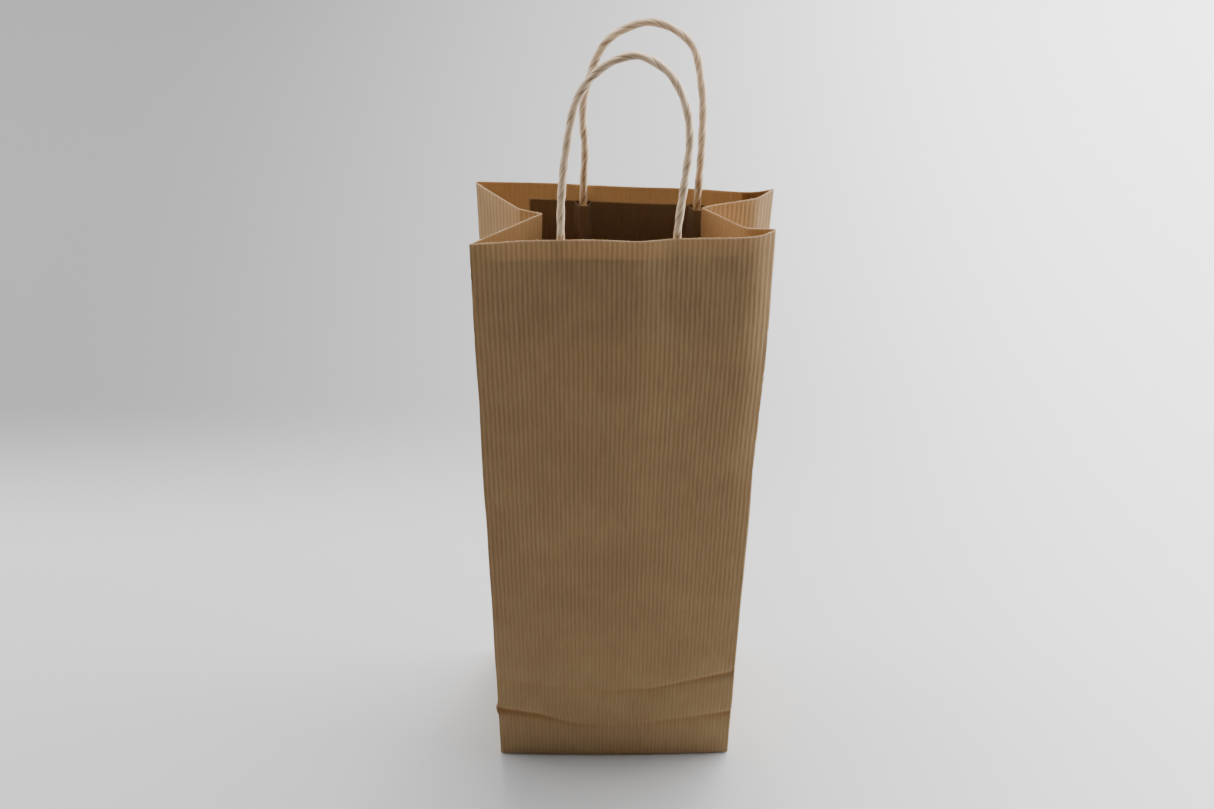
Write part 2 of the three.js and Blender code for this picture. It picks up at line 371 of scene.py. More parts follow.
# a corner fold runs straight from the foot to the rim
def plainCorner(wall, side, z):
    rim = rimCorner(wall, side)
    t = z / bagHeight
    return np.array([mix(side * footX, rim[0], t), mix(towards[wall] * footY, rim[1], t), z])


def cornerPoint(wall, side, z):
    corner = plainCorner(wall, side, z)
    corner[0] += side * sum(
        size * exp(-((z - centre) / reach) ** 2)
        for where, hand, centre, reach, size in cornerSwells if (where, hand) == (wall, side))
    return corner


# the gusset's centre crease: its halves keep their width as the walls lean in
def creasePoint(side, z):
    def middleAt(height):
        return (plainCorner("front", side, height) + plainCorner("back", side, height)) / 2

    def halfGapAt(height):
        return (plainCorner("back", side, height)[1] - plainCorner("front", side, height)[1]) / 2

    rimX, rimY = rimCrease[side]
    rimMiddle = middleAt(bagHeight)
    rimHalfWidth = hypot(rimX - rimMiddle[0], halfGapAt(bagHeight))
    t = z / bagHeight
    halfWidth = mix(footY, rimHalfWidth, t)
    inward = max(0, halfWidth ** 2 - halfGapAt(z) ** 2) ** 0.5
    crease = middleAt(z)
    crease[0] -= side * inward
    crease[1] += (rimY - rimMiddle[1]) * t
    return crease


# folds left in the front panel by flat storage: height and depth along x
storageFolds = [
    {
        "x": [-0.070, -0.045, -0.027, -0.007, 0.015, 0.045, 0.070],
        "z": [0.0428, 0.0375, 0.0305, 0.0280, 0.0295, 0.0345, 0.0385],
        "depth": [0.0026, 0.0022, 0.0012, 0.0006, 0.0006, 0.0010, 0.0019],
        "reach": 0.0032,
        "tint": [1.0, 0.9, 0.45, 0.25, 0.25, 0.45, 0.8],
        "glowDrop": 0.0042,  # the painted glow band hangs this far below the crease
    },
    {
        "x": [-0.068, -0.033, -0.007, 0.020, 0.049, 0.070],
        "z": [0.069, 0.065, 0.061, 0.062, 0.0700, 0.0755],
        "depth": [0.0003, 0.0005, 0.0006, 0.0009, 0.0015, 0.0019],
        "reach": 0.0028,
        "tint": [0.25, 0.2, 0.25, 0.5, 0.9, 1.0],
        "glowDrop": 0.0015,
    },
]


def storageDent(x, z):
    dent = np.zeros_like(x)
    for fold in storageFolds:
        height = np.interp(x, fold["x"], fold["z"])
        depth = np.interp(x, fold["x"], fold["depth"])
        rounded = np.hypot(z - height, bag["creaseRound"]) - bag["creaseRound"]
        dent += depth * np.exp(-rounded / fold["reach"])
    return dent


# painted light: how strongly an orange band is drawn along those folds, standing in for light coming through
# the paper there
def foldGlowAt(x, z):
    tint = np.zeros_like(x)
    for fold in storageFolds:
        below = np.interp(x, fold["x"], fold["z"]) - z
        fade = np.where(below < 0, bag["glowRise"], fold["glowDrop"])
        band = np.exp(-(below / fade) ** 2)
        tint = np.maximum(tint, band * np.interp(x, fold["x"], fold["tint"]))
    return tint


# the front foot bows outwards between its corners
def footBulge(x, z):
    return bag["footBulge"] * np.clip(1 - (x / footX) ** 2, 0, 1) * exp(-z / bag["footBulgeReach"])


# points of a panel at one height; u runs 0 to 1 from left to right, depth goes into the bag
def panelPoints(wall, u, z, depth=0.0):
    left = cornerPoint(wall, -1, z)
    right = cornerPoint(wall, 1, z)
    points = left + np.asarray(u)[:, None] * (right - left)
    points[:, 1] += bows[wall](u) * (z / bagHeight) ** 2 - towards[wall] * depth
    if wall == "front":
        points[:, 1] += storageDent(points[:, 0], z) - footBulge(points[:, 0], z)
    return points


# points of a gusset half at one height; u runs 0 to 1 from the corner fold to the centre crease
def halfPoints(wall, side, u, z):
    u = np.asarray(u)[:, None]
    corner = cornerPoint(wall, side, z)
    foldHeight = bag["foldHeight"]
    if z >= foldHeight:
        crease = creasePoint(side, z)
        points = corner + u * (crease - corner)
        points[:, :2] += halfBows[wall, side](u[:, 0]) * (z / bagHeight) ** 2
        return points
    t = z / foldHeight
    apex = creasePoint(side, foldHeight)
    foot = plainCorner(wall, side, 0)
    diagonal = np.array([mix(foot[0], apex[0], t), mix(foot[1], apex[1], t), z])
    centre = np.array([diagonal[0], apex[1] * t, z])
    if z <= 0:  # at the foot the diagonal starts in the corner
        return diagonal + u * (centre - diagonal)
    toDiagonal = corner + (u / t) * (diagonal - corner)
    toCentre = diagonal + (u - t) / (1 - t) * (centre - diagonal)
    return np.where(u < t, toDiagonal, toCentre)


# sheets of paper

sheetGrid = {
    "ribs": 61,  # ribs across one panel
    "columnsPerRib": 4,
    "halfColumns": 70,  # columns in each gusset half
    "nickColumn": 258,  # a small nick in the front rim
    "nick": 2.4,  # its depth, in torn teeth
    "turn": 0.0007,  # radius of the fold at the foot
    "tongue": 0.0020,  # how far the sheet goes on under the bag
    "tuckLift": 0.0003,  # gusset feet lie above the long flaps
    "mitreLimit": 0.6,
    "softFolds": 0.075,  # the gussets' folds are softened below this height
    "stiffEdge": 0.012,  # crumple fades out towards the centre creases
    "stiffFoot": 0.03,  # and towards the foot
}
panelColumns = sheetGrid["ribs"] * sheetGrid["columnsPerRib"]
columnWidth = 2 * footX / panelColumns
ribPitch = columnWidth * sheetGrid["columnsPerRib"]

reliefValues = {
    "Rib Pitch": ribPitch,
    "Rib Depth": 0.00003,
    "Tooth Depth": 0.00060,
    "Tooth Base": 0.8,  # share of the depth that is torn away even on a rib's edge
    "Tear Scale": 280.0,
    "Tear": 1.5,
    "Crumple Size": 0.055,
    "Crumple Height": 0.0016,
    "Dimple Size": 0.014,
    "Dimple Height": 0.0002,
    "Seed": 3.7,
}
reliefInputs = [(name, "NodeSocketFloat") for name in reliefValues]
reliefGraph, reliefGiven = geometryTree("paperRelief", [*reliefInputs, ("Paper", "NodeSocketMaterial")])


def buildRelief(graph, given):
    across = graph.add("ShaderNodeSeparateXYZ", {}, {0: graph.stored("paper", "FLOAT_VECTOR")}, "X")
    free, rim = graph.stored("free", "FLOAT"), graph.stored("rim", "FLOAT")
    place = graph.add("GeometryNodeInputPosition")
    normal = graph.add("GeometryNodeInputNormal")
    phase = across / given["Rib Pitch"]
    ribs = (phase * (2 * pi)).sine() * given["Rib Depth"]
    moved = graph.vectorMath("ADD", {0: place, 1: given["Seed"]})
    crumple = graph.noise(moved, graph.math("DIVIDE", 1, given["Crumple Size"]), 1.0)
    dimple = graph.noise(moved, graph.math("DIVIDE", 1, given["Dimple Size"]), 1.5)
    rise = ribs + free * (
        (crumple - 0.5) * given["Crumple Height"] + (dimple - 0.5) * given["Dimple Height"])
    offset = graph.vectorMath("SCALE", {0: normal, "Scale": rise})
    tooth = graph.math("PINGPONG", phase * 2, 1.0)  # 0 on a rib's edge, 1 between
    ragged = graph.noise(moved, given["Tear Scale"], 2.0) * given["Tear"]
    drop = ragged * (tooth + given["Tooth Base"]) * given["Tooth Depth"] * rim
    cut = graph.vector(0.0, 0.0, drop * -1)
    total = graph.vectorMath("ADD", {0: offset, 1: cut})
    shaped = graph.add("GeometryNodeSetPosition", {}, {"Geometry": given["Geometry"], "Offset": total})
    closeTree(graph, shaped, given["Paper"])


buildRelief(reliefGraph, reliefGiven)


# quads of a grid of vertex numbers
def gridQuads(number):
    corners = [number[:-1, :-1], number[:-1, 1:], number[1:, 1:], number[1:, :-1]]
    return np.stack(corners, axis=-1).reshape(-1, 4)


# a place on the flat sheet, and which side of it: 0 outside the bag, 1 inside
def paperPlace(across, up, side):
    return np.stack([across.ravel(), up.ravel(), np.full(up.size, side)], axis=-1)


# the relief on a sheet's middle surface, before it gets its thickness
def withRelief(grid, across, up, free, rim, material):
    number = np.arange(up.size).reshape(up.shape)
    mesh = meshFrom("middleSurface", grid.reshape(-1, 3), gridQuads(number).tolist())
    setAttribute(mesh, "paper", "FLOAT_VECTOR", paperPlace(across, up, 0.0))
    setAttribute(mesh, "free", "FLOAT", free)
    setAttribute(mesh, "rim", "FLOAT", rim)
    thing = addObject("middleSurface", mesh)
    shaped = runTree(thing, reliefGraph, {**reliefValues, "Paper": material})
    result = coordinates(shaped).reshape(grid.shape)
    bpy.data.objects.remove(thing)
    bpy.data.meshes.remove(shaped)
    return result


def unit(vectors):
    return vectors / np.maximum(np.linalg.norm(vectors, axis=-1, keepdims=True), 1e-12)


# half a thickness off the middle surface, mitred where the sheet folds
def halfThickness(grid):
    rise = np.gradient(grid, axis=0)
    stepAcross = grid[:, 1:] - grid[:, :-1]
    before = np.concatenate([stepAcross[:, :1], stepAcross], axis=1)
    after = np.concatenate([stepAcross, stepAcross[:, -1:]], axis=1)
    normalBefore = unit(np.cross(before, rise))
    normalAfter = unit(np.cross(after, rise))
    normal = unit(normalBefore + normalAfter)
    lean = np.maximum((normal * normalAfter).sum(axis=-1, keepdims=True), sheetGrid["mitreLimit"])
    return normal / lean * bag["paper"] / 2


# a closed sheet of even thickness, its last row ending in the cut edge's paper
def closedSheet(name, grid, offset, across, up, wear, material, tint=None):
    outer = (grid + offset).reshape(-1, 3)
    inner = (grid - offset).reshape(-1, 3)
    number = np.arange(up.size).reshape(up.shape)
    under = number + up.size
    rimQuads = gridQuads(np.stack([number[-1], under[-1]]))
    faces = np.concatenate([
        gridQuads(number), gridQuads(under.T),
        gridQuads(np.stack([under[0], number[0]])),
        gridQuads(np.stack([under[:, -1], number[:, -1]])),
        gridQuads(np.stack([number[:, 0], under[:, 0]])), rimQuads])
    mesh = meshFrom(name, np.concatenate([outer, inner]), faces.tolist())
    paper = np.concatenate([paperPlace(across, up, side) for side in (0.0, 1.0)])
    setAttribute(mesh, "paper", "FLOAT_VECTOR", paper)
    setAttribute(mesh, "wear", "FLOAT", np.tile(wear.ravel(), 2))
    if tint is not None:
        setAttribute(mesh, "tint", "FLOAT", np.tile(tint.ravel(), 2))
    mesh.materials.append(material)
    mesh.materials.append(cutEdge)
    slots = np.zeros(len(faces), np.int32)
    slots[-len(rimQuads):] = 1
    mesh.polygons.foreach_set("material_index", slots)
    mesh.polygons.foreach_set("use_smooth", np.ones(len(faces), bool))
    mesh.set_sharp_from_angle(angle=radians(48))
    mesh.update()
    return addObject(name, mesh)


# materials

def newMaterial(name):
    material = bpy.data.materials.new(name)
    material.use_nodes = True
    return material, Graph(material.node_tree)


def closeShader(graph, surface, kind="Material"):
    end = graph.tree.nodes.new("ShaderNodeOutput" + kind)
    graph.tree.links.new(surface.socket, end.inputs["Surface"])


# colours of the paper, linear
kraft = {
    "dark": (0.320, 0.192, 0.084),
    "mid": (0.472, 0.305, 0.140),
    "light": (0.600, 0.420, 0.215),
    "inside": (0.93, 0.92, 0.96),
    "worn": (0.72, 0.56, 0.36),
    "torn": (0.92, 0.77, 0.52),
    "cutDark": (0.80, 0.63, 0.41),
    "cutLight": (0.97, 0.86, 0.64),
    "folded": (1.0, 0.80, 0.62),
    "speck": (0.16, 0.095, 0.045),
    "glow": (0.76, 0.56, 0.35),
}


# ribbed outside, plain inside; light comes through it as much as letThrough says
def kraftPaper(name, tone=(1.0, 1.0, 1.0), letThrough=0.26, ribShade=0.24):
    material, graph = newMaterial(name)
    paper = graph.painted("paper", "Vector")
    split = graph.add("ShaderNodeSeparateXYZ", {}, {0: paper})
    across, up, side = split.out("X"), split.out("Y"), split.out("Z")
    wear = graph.painted("wear", "Fac")
    wobble = graph.noise(paper, 90.0, 1.0)  # keeps the ribs from being ruler straight
    rib = ((across / ribPitch + (wobble - 0.5) * 0.25) * (2 * pi)).sine() * 0.5 + 0.5
    streakSpace = graph.vector(across * 1500, up * 55, side * 9)  # stretched up the paper
    streak = graph.noise(streakSpace, 1.0, 3.0, 0.6)
    cloud = graph.noise(graph.vector(across, up, side * 0.05), 38.0, 3.0, 0.55)
    broad = graph.noise(graph.vector(across, up, side * 0.3), 11.0, 1.0)
    fibreSpace = graph.vector(across * 2300, up * 1500, side * 31)
    fibre = graph.noise(fibreSpace, 1.0, 2.0, 0.65, 1.2)
    shade = (streak - 0.5) * 0.9 + (cloud - 0.5) * 0.4 + (broad - 0.5) * 0.25 + (fibre - 0.5) * 0.5
    outside = 1 - side * 0.85  # ribs hardly show inside
    uneven = 0.55 + graph.noise(graph.vector(across * 300, up * 12, 0.0), 1.0, 2.0) * 0.9
    ribbed = (rib - 0.5) * outside * uneven * (0.55 + graph.step(up, 0.03, 0.20) * 0.45)
    foot = 1 - graph.step(up, 0.0, 0.17)  # painted light: the paper is drawn paler near the foot, standing in for light bounced up from the floor
    shade = shade + ribbed * (ribShade * 2) + foot * 0.26 + 0.37
    colour = graph.add("ShaderNodeValToRGB", {"stops": [
        (0.05, kraft["dark"]), (0.95, kraft["light"]), (0.5, kraft["mid"])]}, {"Fac": shade})
    speck = graph.step(fibre, 0.70, 0.78)
    colour = graph.blendColour(speck * 0.35, colour, kraft["speck"])
    worn = graph.step(wear + (streak - 0.5) * 0.7, 0.35, 1.0)
    colour = graph.blendColour(worn * 0.6, colour, kraft["worn"])
    torn = graph.step(wear + (fibre - 0.5) * 0.6, 0.95, 1.35)
    colour = graph.blendColour(torn, colour, kraft["torn"])
    # painted light: an orange band along the storage folds, standing in for light coming through the paper
    colour = graph.blendColour(graph.painted("tint", "Fac") * 0.8, colour, kraft["folded"], "MULTIPLY")
    colour = graph.blendColour(side, colour, kraft["inside"], "MULTIPLY")
    colour = graph.blendColour(1.0, colour, tone, "MULTIPLY")
    roughness = 0.72 + (fibre - 0.5) * 0.2 + (1 - rib) * 0.08
    relief = rib * outside * 0.5 + fibre * 0.35 + streak * 0.3
    normal = graph.add(
        "ShaderNodeBump", {}, {"Strength": 0.45, "Distance": 0.00008, "Height": relief}, "Normal")
    solid = graph.add("ShaderNodeBsdfPrincipled", {}, {
        "Base Color": colour, "Roughness": roughness, "Normal": normal,
        "Specular IOR Level": 0.35, "Sheen Weight": 0.08, "Sheen Roughness": 0.5})
    through = graph.add("ShaderNodeBsdfTranslucent", {}, {"Color": kraft["glow"], "Normal": normal})
    share = letThrough + torn * 0.3
    closeShader(graph, graph.add("ShaderNodeMixShader", {}, {0: share, 1: solid, 2: through}))
    return material


# the fuzzy pale edge that a toothed knife leaves
def cutEdgePaper():
    material, graph = newMaterial("cutEdge")
    paper = graph.painted("paper", "Vector")
    fray = graph.noise(paper, 2600.0, 2.0)
    colour = graph.add("ShaderNodeValToRGB", {"stops": [
        (0.3, kraft["cutDark"]), (0.7, kraft["cutLight"])]}, {"Fac": fray})
    normal = graph.add("ShaderNodeBump", {}, {"Strength": 0.6, "Distance": 0.0001, "Height": fray}, "Normal")
    solid = graph.add("ShaderNodeBsdfPrincipled", {}, {
        "Base Color": colour, "Roughness": 0.9, "Normal": normal, "Specular IOR Level": 0.2})
    through = graph.add("ShaderNodeBsdfTranslucent", {}, {"Color": kraft["torn"], "Normal": normal})
    closeShader(graph, graph.add("ShaderNodeMixShader", {}, {0: 0.35, 1: solid, 2: through}))
    return material


twist = {
    "darkStreakAndGrooveShade": (0.25, 0.150, 0.078),
    "body": (0.82, 0.590, 0.375),
    "crest": (0.98, 0.79, 0.55),
}


def twistedPaper():
    material, graph = newMaterial("twistedPaper")
    split = graph.add("ShaderNodeSeparateXYZ", {}, {0: graph.painted("lobe", "Vector")})
    ridge, along = split.out("X"), split.out("Z")
    groove = graph.step(ridge.size(), 0.0, 0.26)
    streakSpace = graph.vector(ridge * 7, split.out("Y") * 7, along * 45)
    streak = graph.noise(streakSpace, 1.0, 4.0, 0.62)
    fibre = graph.noise(graph.vector(ridge * 30, split.out("Y") * 30, along * 700), 1.0, 2.0)
    patch = graph.noise(graph.vector(ridge * 1.2, split.out("Y") * 1.2, along * 120), 1.0, 2.0)
    shade = 0.5 + (streak - 0.5) * 1.6 + (patch - 0.5) * 0.8 + (fibre - 0.5) * 0.3
    colour = graph.add("ShaderNodeValToRGB", {"stops": [
        (0.1, twist["darkStreakAndGrooveShade"]), (0.9, twist["crest"]), (0.5, twist["body"])]}, {"Fac": shade})
    # painted shade: the groove between the two strands is drawn dark
    colour = graph.blendColour((1 - groove) * 0.75, colour, twist["darkStreakAndGrooveShade"])
    relief = streak * 0.7 + fibre * 0.3 + groove * 0.6
    normal = graph.add(
        "ShaderNodeBump", {}, {"Strength": 0.7, "Distance": 0.0003, "Height": relief}, "Normal")
    closeShader(graph, graph.add("ShaderNodeBsdfPrincipled", {}, {
        "Base Color": colour, "Roughness": 0.68 + (fibre - 0.5) * 0.2, "Normal": normal,
        "Specular IOR Level": 0.35, "Sheen Weight": 0.1}))
    return material


kraftRibbed = kraftPaper("kraftRibbed")
kraftInside = kraftPaper("kraftInside", (0.9, 0.88, 0.86))
# painted shade: the patch paper is drawn darker and greyer, standing in for the shade inside the bag
kraftPatch = kraftPaper("kraftPatch", (0.66, 0.74, 0.95), 0.2, 0.12)
cutEdge = cutEdgePaper()
cordPaper = twistedPaper()
print("materials made")


# cords

cordShape = {
    "radius": 0.0019,
    "strandShare": 0.15,  # how far the two twisted strands stand apart
    "pitch": 0.026,  # one full turn
    "around": 24,
    "step": 0.0008,
    "legDepth": 0.0024,  # panel's middle to the cord inside the patch
    "legHeights": [0.350, 0.358, 0.366, 0.374, 0.380],
    "mouth": 0.379,  # the cord leaves the patch here
    "hinge": 0.3925,  # it bends here
    "bend": (0.384, 0.401),  # two heights about the hinge
}

handles = {
    "front": {
        "patchCentre": -0.0015,
        "patchWidth": 0.120,
        "patchBottom": 0.329,
        "legs": [-0.0276, 0.0254],
        "loop": [
            (-0.0275, -0.0236, 0.3928), (-0.0271, -0.0230, 0.4090), (-0.0246, -0.0216, 0.4350),
            (-0.0188, -0.0198, 0.4617), (-0.0078, -0.0186, 0.4752), (0.0055, -0.0180, 0.4798),
            (0.0187, -0.0182, 0.4720), (0.0259, -0.0190, 0.4587), (0.0291, -0.0202, 0.4417),
            (0.0278, -0.0216, 0.4190), (0.0256, -0.0228, 0.3928)],
        "phase": 0.3,
    },
    "back": {
        "patchCentre": 0.0094,
        "patchWidth": 0.105,
        "patchBottom": 0.330,
        "legs": [-0.0175, 0.0363],
        "loop": [
            (-0.0172, 0.0129, 0.3928), (-0.0165, 0.0123, 0.4113), (-0.0173, 0.0113, 0.4337),
            (-0.0141, 0.0102, 0.4526), (-0.0054, 0.0088, 0.4720), (0.0125, 0.0080, 0.4803),
            (0.0292, 0.0080, 0.4706), (0.0356, 0.0084, 0.4460), (0.0369, 0.0090, 0.4190),
            (0.0365, 0.0095, 0.3928)],
        "phase": 1.4,
    },
}


# share of a panel's width at a given x
def shareAtX(wall, x, z):
    left = cornerPoint(wall, -1, z)[0]
    right = cornerPoint(wall, 1, z)[0]
    return (x - left) / (right - left)


def pointAtX(wall, x, z, depth):
    return panelPoints(wall, [shareAtX(wall, x, z)], z, depth)[0]


# a smooth line through given points, evenly spaced
def smoothLine(points, spacing):
    points = np.array(points, float)
    ends = [2 * points[0] - points[1], *points, 2 * points[-1] - points[-2]]
    dense = []
    for a, b, c, d in zip(ends[:-3], ends[1:-2], ends[2:-1], ends[3:]):
        knots = np.cumsum([0] + [np.linalg.norm(q - p) ** 0.5 for p, q in ((a, b), (b, c), (c, d))])
        for t in np.linspace(knots[1], knots[2], 24, endpoint=False):
            first = [
                mix(p, q, (t - knots[k]) / (knots[k + 1] - knots[k]))
                for k, (p, q) in enumerate(((a, b), (b, c), (c, d)))]
            second = [
                mix(first[k], first[k + 1], (t - knots[k]) / (knots[k + 2] - knots[k])) for k in (0, 1)]
            dense.append(mix(*second, (t - knots[1]) / (knots[2] - knots[1])))
    dense.append(points[-1])
    dense = np.array(dense)
    along = np.concatenate([[0], np.cumsum(np.linalg.norm(dense[1:] - dense[:-1], axis=1))])
    even = np.linspace(0, along[-1], int(along[-1] / spacing) + 1)
    return np.stack([np.interp(even, along, dense[:, axis]) for axis in range(3)], axis=-1), along[-1]


cordGraph, cordGiven = geometryTree("twistedCord", [
    ("Radius", "NodeSocketFloat"),
    ("Strand Share", "NodeSocketFloat"),
    ("Pitch", "NodeSocketFloat"),
    ("Phase", "NodeSocketFloat"),
    ("Around", "NodeSocketInt"),
    ("Paper", "NodeSocketMaterial"),
])


def buildCordTree(graph, given):
    line = graph.add("GeometryNodeMeshToCurve", {}, {"Mesh": given["Geometry"]})
    line = graph.add("GeometryNodeSetCurveNormal", {"mode": "MINIMUM_TWIST"}, {"Curve": line})
    length = graph.add("GeometryNodeSplineParameter", {}, {}, "Length")
    turn = length / given["Pitch"] * (2 * pi) + given["Phase"]
    line = graph.add("GeometryNodeSetCurveTilt", {}, {"Curve": line, "Tilt": turn})
    line = graph.add(
        "GeometryNodeStoreNamedAttribute", {"data_type": "FLOAT", "domain": "POINT"},
        {"Geometry": line, "Name": "along", "Value": length})
    ring = graph.add("GeometryNodeCurvePrimitiveCircle", {"mode": "RADIUS"}, {
        "Resolution": given["Around"], "Radius": 1.0})
    place = graph.add("GeometryNodeInputPosition")
    split = graph.add("ShaderNodeSeparateXYZ", {}, {0: place})
    across, height = split.out("X"), split.out("Y")
    apart = given["Strand Share"]
    strand = 1 - apart  # each strand's own radius
    reach = apart * across.size() + (strand * strand - apart * apart * height * height) ** 0.5
    scaled = graph.vectorMath("SCALE", {0: place, "Scale": reach * given["Radius"]})
    ring = graph.add(
        "GeometryNodeStoreNamedAttribute", {"data_type": "FLOAT_VECTOR", "domain": "POINT"},
        {"Geometry": ring, "Name": "ring", "Value": place})
    ring = graph.add("GeometryNodeSetPosition", {}, {"Geometry": ring, "Position": scaled})
    tube = graph.add("GeometryNodeCurveToMesh", {}, {
        "Curve": line, "Profile Curve": ring, "Fill Caps": True})
    closeTree(graph, tube, given["Paper"])


buildCordTree(cordGraph, cordGiven)


def makeCord(wall):
    handle = handles[wall]
    legs = [
        [pointAtX(wall, x, z, cordShape["legDepth"]) for z in cordShape["legHeights"]]
        for x in handle["legs"]]
    path, length = smoothLine([*legs[0], *handle["loop"], *legs[1][::-1]], cordShape["step"])
    links = [(k, k + 1) for k in range(len(path) - 1)]
    host = addObject("cordLine", meshFrom("cordLine", path, [], links))
    mesh = runTree(host, cordGraph, {
        "Radius": cordShape["radius"], "Strand Share": cordShape["strandShare"],
        "Pitch": cordShape["pitch"], "Phase": handle["phase"], "Around": cordShape["around"],
        "Paper": cordPaper})
    bpy.data.objects.remove(host)
    ring = np.zeros(len(mesh.vertices) * 3, np.float32)
    mesh.attributes["ring"].data.foreach_get("vector", ring)
    along = np.zeros(len(mesh.vertices), np.float32)
    mesh.attributes["along"].data.foreach_get("value", along)
    lobe = ring.reshape(-1, 3)
    lobe[:, 2] = along
    setAttribute(mesh, "lobe", "FLOAT_VECTOR", lobe)
    mesh.polygons.foreach_set("use_smooth", np.ones(len(mesh.polygons), bool))
    mesh.set_sharp_from_angle(angle=radians(60))
    cord = addObject(wall + "_handle_cord", mesh)
    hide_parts(wall + "_cord_leg_left", wall + "_cord_leg_right", wall + "_cord_loop")
    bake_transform(cord)
    mouth = pointAtX(wall, handle["legs"][0], cordShape["mouth"], cordShape["legDepth"])
    print(wall, "cord:", round(length, 4), "m long")


for wallName in towards:
    makeCord(wallName)


# the two walls, each one sheet from centre crease to centre crease

sheetRows = {
    "dense": (0.0024, 0.0839, 0.00125),  # close rows over the storage folds
    "plain": (0.0845, 0.378, 46),
    "nearRim": [0.3808, 0.3835, 0.3860, 0.3881, 0.38952],
    "under": 0.003,  # length of paper that turns under the bag
}

# wear that fades away from a fold or an edge: its strength, and how far it reaches
wearReach = {
    "corner": (0.8, 0.0012),
    "crease": (0.6, 0.001),
    "foot": (0.7, 0.0015),
    "tornRim": (2.4, 0.0007),
    "patchEdge": (0.7, 0.0005),
    "flapEdge": (0.8, 0.0006),
}


def wearFrom(edge, distance):
    strength, reach = wearReach[edge]
    return strength * np.exp(-distance / reach)


def sectionRow(wall, z):
    start = -1 if wall == "front" else 1
    half = np.linspace(0, 1, sheetGrid["halfColumns"] + 1)
    flat = np.linspace(0, 1, panelColumns + 1)
    if wall == "back":
        flat = flat[::-1]
    first = halfPoints(wall, start, half[::-1], z)
    middle = panelPoints(wall, flat, z)
    last = halfPoints(wall, -start, half, z)
    return np.concatenate([first[:-1], middle, last[1:]])


def rowHeights():
    return np.concatenate([
        np.arange(*sheetRows["dense"]), np.linspace(*sheetRows["plain"]),
        sheetRows["nearRim"], [bagHeight]])


# rows that turn the sheet under the bag, from the tongue's end up to the wall
def footRows(wall):
    foot = sectionRow(wall, 0.0)
    column = np.arange(len(foot))
    fromEnd = np.minimum(column, len(foot) - 1 - column)
    beyond = sheetGrid["halfColumns"] - fromEnd  # columns past the corner fold, into a gusset
    level = bag["paper"] / 2 + sheetGrid["tuckLift"] * np.clip((beyond + 2) / 4, 0, 1)
    turn, tongue = sheetGrid["turn"], sheetGrid["tongue"]
    stations = [(k, 0.0) for k in np.linspace(tongue, turn, 3)]
    for angle in np.radians([67.5, 45, 22.5, 0]):
        stations.append((turn * (1 - np.cos(angle)), turn * (1 - np.sin(angle))))
    rows = []
    for inward, rise in stations:
        row = foot.copy()
        bulge = footBulge(foot[:, 0], 0) * (1 - inward / tongue) if wall == "front" else 0
        row[:, 0] = np.sign(foot[:, 0]) * np.minimum(abs(foot[:, 0]), footX - inward)
        row[:, 1] = np.sign(foot[:, 1]) * np.minimum(abs(foot[:, 1]), footY + bulge - inward)
        row[:, 2] = level + rise
        rows.append(row)
    return rows


# soften the triangular folds of the gussets, and round the corner folds
def softenFolds(grid, footCount, heights):
    columns = grid.shape[1]
    half = sheetGrid["halfColumns"]
    low = footCount + int(np.searchsorted(heights, sheetGrid["softFolds"]))
    for rounds in range(3):
        for part in (slice(1, half), slice(columns - half, columns - 1)):
            block = grid[footCount:low, part]
            wider = grid[footCount:low, part.start - 1:part.stop + 1]
            block[:] = block / 2 + (wider[:, :-2] + wider[:, 2:]) / 4
            block[1:-1] = block[1:-1] / 2 + (block[:-2] + block[2:]) / 4
    for column in (half, columns - 1 - half):
        grid[:, column] = grid[:, column] / 2 + (grid[:, column - 1] + grid[:, column + 1]) / 4


creaseOffsets = {}


# both walls end in the same two points across each centre crease
def shareCreases(wall, offset):
    sides = (-1, 1) if wall == "front" else (1, -1)
    for side, column in zip(sides, (0, -1)):
        if side not in creaseOffsets:
            normal = unit(offset[:, column])
            normal[:, 1] = 0
            level = np.maximum((normal ** 2).sum(axis=1, keepdims=True), 0.06)
            creaseOffsets[side] = normal / level * bag["paper"] / 2
        offset[:, column] = creaseOffsets[side]


# works out the panel's lean and inward direction, then bakes the sheet's placement into its mesh
def blendWall(sheet, wall):
    first, last = rims[wall][0], rims[wall][-1 - bag["curlPoints"]]
    slope = (last[1] - first[1]) / (last[0] - first[0])
    rimY = first[1] - slope * first[0]
    lean = (rimY - towards[wall] * footY) / bagHeight
    inward = -towards[wall] * Vector((-slope, 1, -lean)).normalized()
    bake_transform(sheet)


